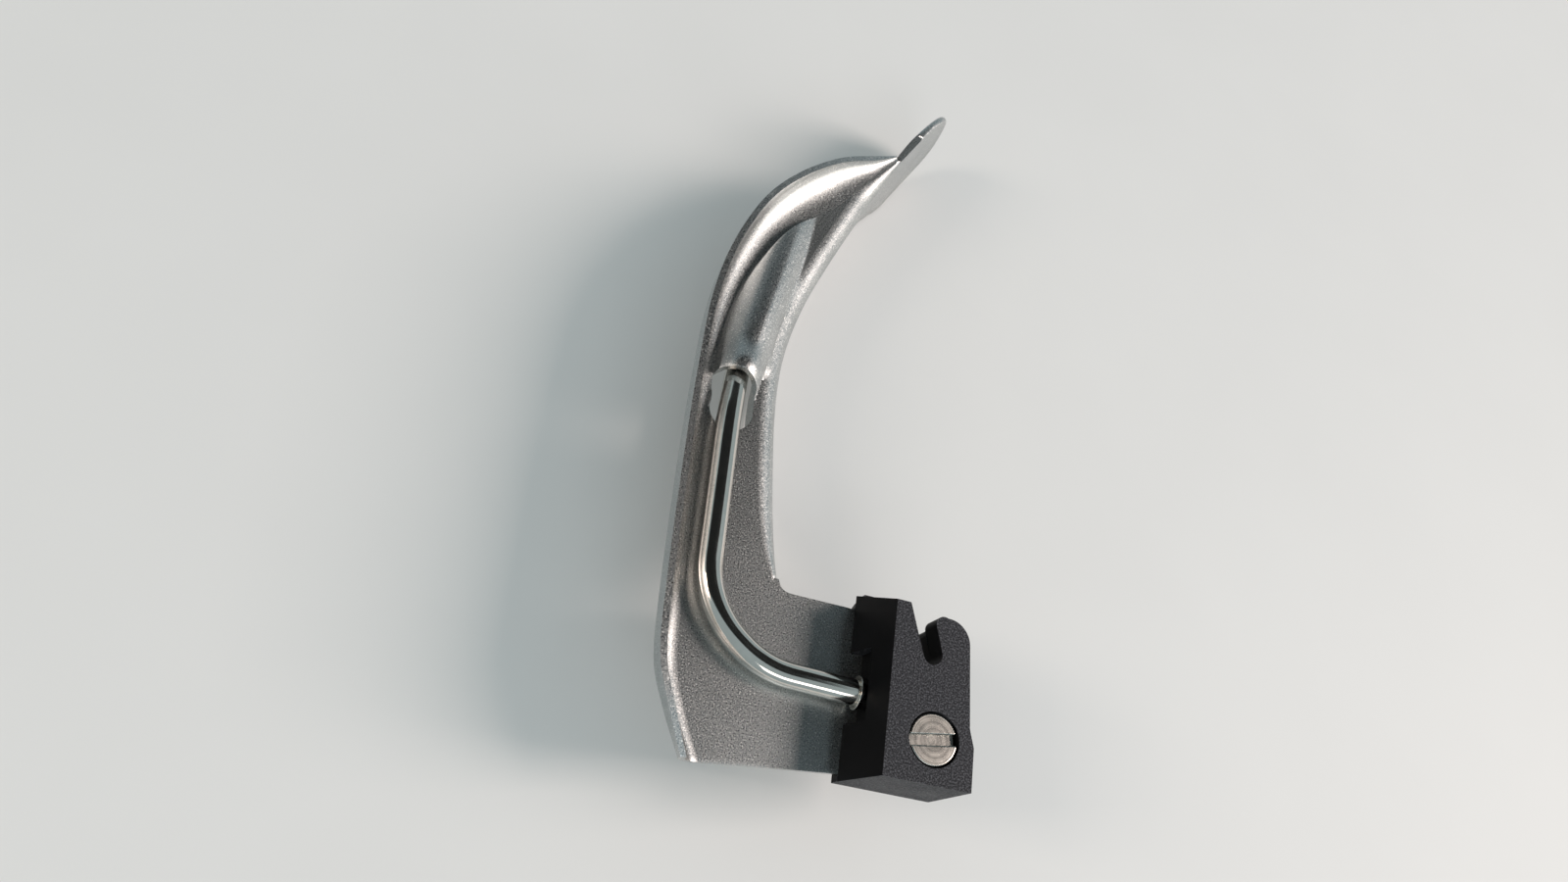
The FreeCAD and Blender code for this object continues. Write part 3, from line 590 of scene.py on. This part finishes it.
# ---------------------------------------------------------------- screw, washer, insert and pins
# The slotted screw, its washer and the threaded insert are turned from stainless bar. A facing cut
# leaves fine rings round the screw's axis, drawn at 0.45 mm so that they show, and the slot is sawn.

SCREW_AXIS = Vector((1.2, -12.1, 0))
HEAD_RADIUS, SHANK_RADIUS = 3.7, 1.9
SHANK_END, HEAD_SEAT, SLOT_FLOOR, HEAD_TOP = -6.2, 4.4, 5.4, 6.3
SLOT_HALF = 0.75
SLOT_TURN = math.radians(9)
SINK = 0.3


def arc(radius, first, last, count):
    """Points of an arc about the screw's axis, in mm."""
    turns = [first + (last - first) * i / count for i in range(count + 1)]
    return [SCREW_AXIS + Vector((math.cos(turn), math.sin(turn), 0)) * radius for turn in turns]


screw_mesh = bmesh.new()
add_shell(screw_mesh, arc(SHANK_RADIUS, 0, 2 * math.pi, 48)[1:], SHANK_END, HEAD_SEAT + SINK)
add_shell(screw_mesh, arc(HEAD_RADIUS, 0, 2 * math.pi, 72)[1:], HEAD_SEAT, SLOT_FLOOR)
slot_angle = math.asin(SLOT_HALF / HEAD_RADIUS)
for start in (SLOT_TURN, SLOT_TURN + math.pi):
    half_moon = arc(HEAD_RADIUS, start + slot_angle, start + math.pi - slot_angle, 32)
    add_shell(screw_mesh, half_moon, SLOT_FLOOR - SINK, HEAD_TOP)
screw = piece_from(screw_mesh, "slotted_screw")
soften(screw, 0.26)
washer = softened_copy("screw_washer", "plain_washer", 0.06)
insert = softened_copy("screw_insert", "threaded_insert", 0.1)
pins = softened_copy("locating_pins", "dowel_pins", 0.12)

RING = 0.45 * MM
screw_low, screw_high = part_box("heel_screw")
turned, end = new_material("turned_stainless_steel")
where = node(turned, "ShaderNodeTexCoord").outputs["Object"]
axis = (screw_low + screw_high) / 2
centred = node(turned, "ShaderNodeVectorMath", {"operation": "SUBTRACT", 1: axis}, {0: where})
flat = node(turned, "ShaderNodeVectorMath", {"operation": "MULTIPLY", 1: (1, 1, 0)},
            {0: centred.outputs[0]})
reach = node(turned, "ShaderNodeVectorMath", {"operation": "LENGTH"}, {0: flat.outputs[0]})
rings = node(turned, "ShaderNodeTexNoise", {"noise_dimensions": "1D", "Scale": 1 / RING, "Detail": 2.0},
             {"W": reach.outputs["Value"]})
wear = node(turned, "ShaderNodeTexNoise", {"Scale": 1 / (1.5 * MM), "Detail": 4.0}, {"Vector": where})
tone = ramp(turned, rings.outputs["Fac"], [(0.35, "#a3a19c"), (0.65, "#d6d3cc")])
shine = node(turned, "ShaderNodeMapRange",
             {"From Min": 0.3, "From Max": 0.7, "To Min": 0.24, "To Max": 0.3},
             {"Value": wear.outputs["Fac"]})
marks = node(turned, "ShaderNodeBump", {"Strength": 0.35, "Distance": 0.02 * MM},
             {"Height": rings.outputs["Fac"]})
steel = node(turned, "ShaderNodeBsdfPrincipled", {"Metallic": 1.0},
             {"Base Color": tone.outputs["Color"], "Roughness": shine.outputs["Result"],
              "Normal": marks.outputs["Normal"]})
turned.node_tree.links.new(steel.outputs["BSDF"], end.inputs["Surface"])
fit(screw, turned, "screw", "turned_steel", "heel_screw")
fit(washer, turned, "washer", "turned_steel", "screw_washer")
fit(insert, turned, "blade", "turned_steel", "screw_insert")
fit(pins, turned, "blade", "turned_steel", "locating_pins")

# ---------------------------------------------------------------- detent: ball, sleeve and spring
# A hardened chrome steel ball in a pressed-in sleeve, pushed out by a coil spring, clicks into the
# handle. The ball is lapped to a mirror, and the spring is drawn wire.

ball = softened_copy("detent_ball", "detent_bearing_ball", 0.02)
sleeve = softened_copy("detent_sleeve", "detent_bush", 0.08)

lapped, end = new_material("lapped_chrome_steel")
where = node(lapped, "ShaderNodeTexCoord").outputs["Object"]
scuffs = node(lapped, "ShaderNodeTexNoise", {"Scale": 1 / (0.4 * MM), "Detail": 5.0}, {"Vector": where})
tone = ramp(lapped, scuffs.outputs["Fac"], [(0.35, "#b6b7b9"), (0.65, "#d2d3d4")])
shine = node(lapped, "ShaderNodeMapRange",
             {"From Min": 0.35, "From Max": 0.7, "To Min": 0.06, "To Max": 0.16},
             {"Value": scuffs.outputs["Fac"]})
steel = node(lapped, "ShaderNodeBsdfPrincipled", {"Metallic": 1.0},
             {"Base Color": tone.outputs["Color"], "Roughness": shine.outputs["Result"]})
lapped.node_tree.links.new(steel.outputs["BSDF"], end.inputs["Surface"])
fit(ball, lapped, "ball", "ball_steel", "detent_ball")
fit(sleeve, turned, "blade", "turned_steel", "detent_sleeve")

spring = softened_copy("detent_spring", "detent_coil", 0.01)
drawn, end = new_material("drawn_spring_wire")
where = node(drawn, "ShaderNodeTexCoord").outputs["Object"]
streaks = node(drawn, "ShaderNodeTexNoise", {"Scale": 1 / (0.2 * MM), "Detail": 3.0}, {"Vector": where})
tone = ramp(drawn, streaks.outputs["Fac"], [(0.35, "#7e8083"), (0.65, "#a3a5a8")])
steel = node(drawn, "ShaderNodeBsdfPrincipled", {"Metallic": 1.0, "Roughness": 0.3},
             {"Base Color": tone.outputs["Color"]})
drawn.node_tree.links.new(steel.outputs["BSDF"], end.inputs["Surface"])
fit(spring, drawn, "blade", "spring_steel", "detent_spring")
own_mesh(spring)

# ---------------------------------------------------------------- light guide: tube and its fittings
# A bent stainless tube carries glass fibres from the heel's right face to the light's exit under the
# hood. It is drawn and polished bright, and its ferrules and collar are turned and pushed on.

TUBE_RADIUS = 1.95
TUBE_BORE = 1.6
TUBE_ROUTE = [
    Vector((6.3, -6.9, 0)), Vector((1.6, -6.9, 0)), Vector((-4.0, -6.0, -1.6)),
    Vector((-22.4, -5.3, -2.2)), Vector((-32.7, 1.9, -2.2)), Vector((-33.6, 31.5, -2.2)),
    Vector((-32.7, 43.5, -4.7)), Vector((-29.2, 60.0, -8.2)),
]
TUBE_BENDS = [6, 6, 14.8, 14.8, 30, 30]


def bent_line(route, bends):
    """Points along straight runs joined by round bends, in mm."""
    line = [route[0]]
    for before, corner, after, radius in zip(route, route[1:], route[2:], bends):
        into, out = (corner - before).normalized(), (after - corner).normalized()
        turn = into.angle(out)
        reach = radius * math.tan(turn / 2)
        centre = corner + (out - into).normalized() * radius / math.cos(turn / 2)
        first = corner - into * reach - centre
        axis = into.cross(out).normalized()
        steps = max(3, math.ceil(math.degrees(turn) / 3))
        for i in range(steps + 1):
            line.append(centre + Quaternion(axis, turn * i / steps) @ first)
    line.append(route[-1])
    return line


def drawn_tube(name, line, radius, bore, sides=48):
    """A round tube along a line, open at both ends, with its wall showing there."""
    mesh = bmesh.new()
    heading = (line[1] - line[0]).normalized()
    up = heading.orthogonal().normalized()
    rings = []
    for i, point in enumerate(line):
        ahead = (line[min(i + 1, len(line) - 1)] - line[max(i - 1, 0)]).normalized()
        up = (up - ahead * up.dot(ahead)).normalized()
        right = ahead.cross(up)
        spokes = [up * math.cos(2 * math.pi * k / sides) + right * math.sin(2 * math.pi * k / sides)
                  for k in range(sides)]
        rings.append((point, spokes))
    skins = []
    for size in (radius, bore):
        skin = []
        for point, spokes in rings:
            skin.append([mesh.verts.new((point + spoke * size) * MM) for spoke in spokes])
        skins.append(skin)
    for skin in skins:
        for low, high in zip(skin, skin[1:]):
            for k in range(sides):
                mesh.faces.new([low[k - 1], low[k], high[k], high[k - 1]])
    for rim in (0, -1):
        outer, inner = skins[0][rim], skins[1][rim]
        for k in range(sides):
            mesh.faces.new([outer[k - 1], outer[k], inner[k], inner[k - 1]])
    bmesh.ops.recalc_face_normals(mesh, faces=mesh.faces)
    return piece_from(mesh, name)


route_line = bent_line(TUBE_ROUTE, TUBE_BENDS)
light_tube = drawn_tube("drawn_light_tube", route_line, TUBE_RADIUS, TUBE_BORE)
collar = softened_copy("tube_collar", "flared_collar", 0.12)
inlet = softened_copy("inlet_ferrule", "inlet_bush", 0.1)
outlet = softened_copy("outlet_ferrule", "outlet_bush", 0.1)
fibres = softened_copy("fibre_bundle", "glass_fibres", 0.02)
potting = softened_copy("bundle_potting", "resin_rings", 0.02)

DRAW_LINE = 0.12 * MM
polished, end = new_material("polished_stainless_tube")
where = node(polished, "ShaderNodeTexCoord").outputs["Object"]
haze = node(polished, "ShaderNodeTexNoise", {"Scale": 1 / (3 * MM), "Detail": 5.0, "Roughness": 0.7},
            {"Vector": where})
lines = node(polished, "ShaderNodeTexNoise", {"Scale": 1 / DRAW_LINE, "Detail": 2.0}, {"Vector": where})
tone = ramp(polished, haze.outputs["Fac"], [(0.3, "#d3cdc5"), (0.7, "#ded8d0")])
shine = node(polished, "ShaderNodeMapRange",
             {"From Min": 0.3, "From Max": 0.7, "To Min": 0.08, "To Max": 0.13},
             {"Value": haze.outputs["Fac"]})
marks = node(polished, "ShaderNodeBump", {"Strength": 0.04, "Distance": 0.01 * MM},
             {"Height": lines.outputs["Fac"]})
steel = node(polished, "ShaderNodeBsdfPrincipled", {"Metallic": 1.0},
             {"Base Color": tone.outputs["Color"], "Roughness": shine.outputs["Result"],
              "Normal": marks.outputs["Normal"]})
polished.node_tree.links.new(steel.outputs["BSDF"], end.inputs["Surface"])
fit(light_tube, polished, "blade", "tube_steel", "light_tube")
fit(collar, polished, "blade", "turned_steel", "tube_collar")
fit(inlet, turned, "blade", "turned_steel", "inlet_ferrule")
fit(outlet, turned, "blade", "turned_steel", "outlet_ferrule")

# Polished glass fibres: each is about 0.05 mm, and they are drawn at 0.12 mm so that the bundle shows.
FIBRE = 0.12 * MM
glass, end = new_material("polished_glass_fibres")
where = node(glass, "ShaderNodeTexCoord").outputs["Object"]
cells = node(glass, "ShaderNodeTexVoronoi", {"Scale": 1 / FIBRE}, {"Vector": where})
tone = ramp(glass, cells.outputs["Distance"], [(0.2, "#e6e3d3"), (0.55, "#8d8a76"), (0.75, "#3b382c")])
fibre_face = node(glass, "ShaderNodeBsdfPrincipled", {"IOR": 1.52, "Roughness": 0.12, "Coat Weight": 0.5},
                  {"Base Color": tone.outputs["Color"]})
glass.node_tree.links.new(fibre_face.outputs["BSDF"], end.inputs["Surface"])
fit(fibres, glass, "blade", "glass_fibre", "fibre_bundle")

# Cast epoxy: cured amber in the gap between fibres and ferrules, ground flush with them.
resin, end = new_material("cast_epoxy_resin")
where = node(resin, "ShaderNodeTexCoord").outputs["Object"]
bubbles = node(resin, "ShaderNodeTexNoise", {"Scale": 1 / (0.15 * MM), "Detail": 2.0}, {"Vector": where})
tone = ramp(resin, bubbles.outputs["Fac"], [(0.35, "#6e5a33"), (0.7, "#93804e")])
epoxy = node(resin, "ShaderNodeBsdfPrincipled", {"IOR": 1.55, "Roughness": 0.2},
             {"Base Color": tone.outputs["Color"]})
resin.node_tree.links.new(epoxy.outputs["BSDF"], end.inputs["Surface"])
fit(potting, resin, "blade", "clear_resin", "bundle_potting")

# ---------------------------------------------------------------- table top, studio light and camera
# A matt laminate table under four soft lights: a broad one high on the right, a window low on the
# right, a weak one on the left and one in front. A dark card overhead darkens the metal.

TABLE_SIZE = 3.0
table_height = cad_low[2]
table_mesh = bmesh.new()
bmesh.ops.create_grid(table_mesh, x_segments=4, y_segments=4, size=TABLE_SIZE / 2,
                      matrix=Matrix.Translation((0, 0, table_height)))
table = piece_from(table_mesh, "table_top")
laminate, end = new_material("matt_pale_laminate")
where = node(laminate, "ShaderNodeTexCoord").outputs["Object"]
mottle = node(laminate, "ShaderNodeTexNoise", {"Scale": 1 / (40 * MM), "Detail": 3.0}, {"Vector": where})
tone = ramp(laminate, mottle.outputs["Fac"], [(0.3, "#dadad9"), (0.7, "#dcdcdb")])
surface = node(laminate, "ShaderNodeBsdfPrincipled", {"Roughness": 0.6, "IOR": 1.45},
               {"Base Color": tone.outputs["Color"]})
laminate.node_tree.links.new(surface.outputs["BSDF"], end.inputs["Surface"])
table.data.materials.append(laminate)

room = bpy.data.worlds.new("pale_room")
bpy.context.scene.world = room
room.use_nodes = True
room.node_tree.nodes["Background"].inputs["Color"].default_value = linear("#e0f6fd")
room.node_tree.nodes["Background"].inputs["Strength"].default_value = 0.475

middle = Vector(((cad_low[0] + cad_high[0]) / 2, (cad_low[1] + cad_high[1]) / 2, table_height))


def soft_light(name, towards, distance, width, depth, power, colour):
    """A soft box that faces the object from a direction."""
    lamp = bpy.data.lights.new(name, "AREA")
    lamp.shape = "RECTANGLE"
    lamp.size = width
    lamp.size_y = depth
    lamp.energy = power
    lamp.color = linear(colour)[:3]
    holder = bpy.data.objects.new(name, lamp)
    holder.location = middle + Vector(towards).normalized() * distance
    holder.rotation_euler = Vector(towards).to_track_quat("Z", "Y").to_euler()
    bpy.context.scene.collection.objects.link(holder)
    return holder


soft_light("main_softbox", (0.80, 0.05, 0.62), 2.00, 0.57, 1.10, 29.0, "#ffeee6")
soft_light("fill_softbox", (-0.85, -0.10, 0.55), 1.20, 0.30, 0.45, 3.2, "#ffefe0")
soft_light("window_panel", (0.96, -0.12, 0.20), 2.00, 1.20, 0.55, 4.4, "#fdf1e4")
soft_light("front_softbox", (0.10, -0.75, 0.58), 1.00, 0.45, 0.28, 1.1, "#ffffff")

# Dark card: it hangs out of sight and only shows in the metal. Its corners are in mm.
CARD_HEIGHT = 300
CARD_PANELS = [
    [(-360, -40), (76, -40), (84, 95), (240, 165), (300, 480), (-360, 480)],
    [(108, -60), (210, -60), (250, 140), (112, 90)],
]
card_mesh = bmesh.new()
for panel in CARD_PANELS:
    card_mesh.faces.new([card_mesh.verts.new(Vector((x, y, CARD_HEIGHT)) * MM) for x, y in panel])
card = piece_from(card_mesh, "dark_card")
card.visible_camera = False
card.visible_shadow = False
card.visible_diffuse = False
felt, end = new_material("dark_felt_card")
where = node(felt, "ShaderNodeTexCoord").outputs["Object"]
fluff = node(felt, "ShaderNodeTexNoise", {"Scale": 60.0}, {"Vector": where})
tone = ramp(felt, fluff.outputs["Fac"], [(0.3, "#101518"), (0.7, "#181d20")])
cloth = node(felt, "ShaderNodeBsdfPrincipled", {"Roughness": 0.9}, {"Base Color": tone.outputs["Color"]})
felt.node_tree.links.new(cloth.outputs["BSDF"], end.inputs["Surface"])
card.data.materials.append(felt)

CAMERA_PLACE = Vector((-74.9, -47.9, 156.2)) * MM
CAMERA_LOOK = Vector((0.276, 0.428, -0.861)).normalized()
CAMERA_UP = Vector((-0.262, 0.895, 0.361))
lens = bpy.data.cameras.new("camera")
lens.sensor_width = 36
lens.lens = 27
lens.clip_start = 0.005
lens.clip_end = 20
bpy.context.scene.view_settings.view_transform = "Standard"
camera = bpy.data.objects.new("camera", lens)
right = CAMERA_LOOK.cross(CAMERA_UP).normalized()
upright = right.cross(CAMERA_LOOK)
facing_camera = Matrix((right, upright, -CAMERA_LOOK)).transposed().to_4x4()
camera.matrix_world = Matrix.Translation(CAMERA_PLACE) @ facing_camera
bpy.context.scene.collection.objects.link(camera)
bpy.context.scene.camera = camera
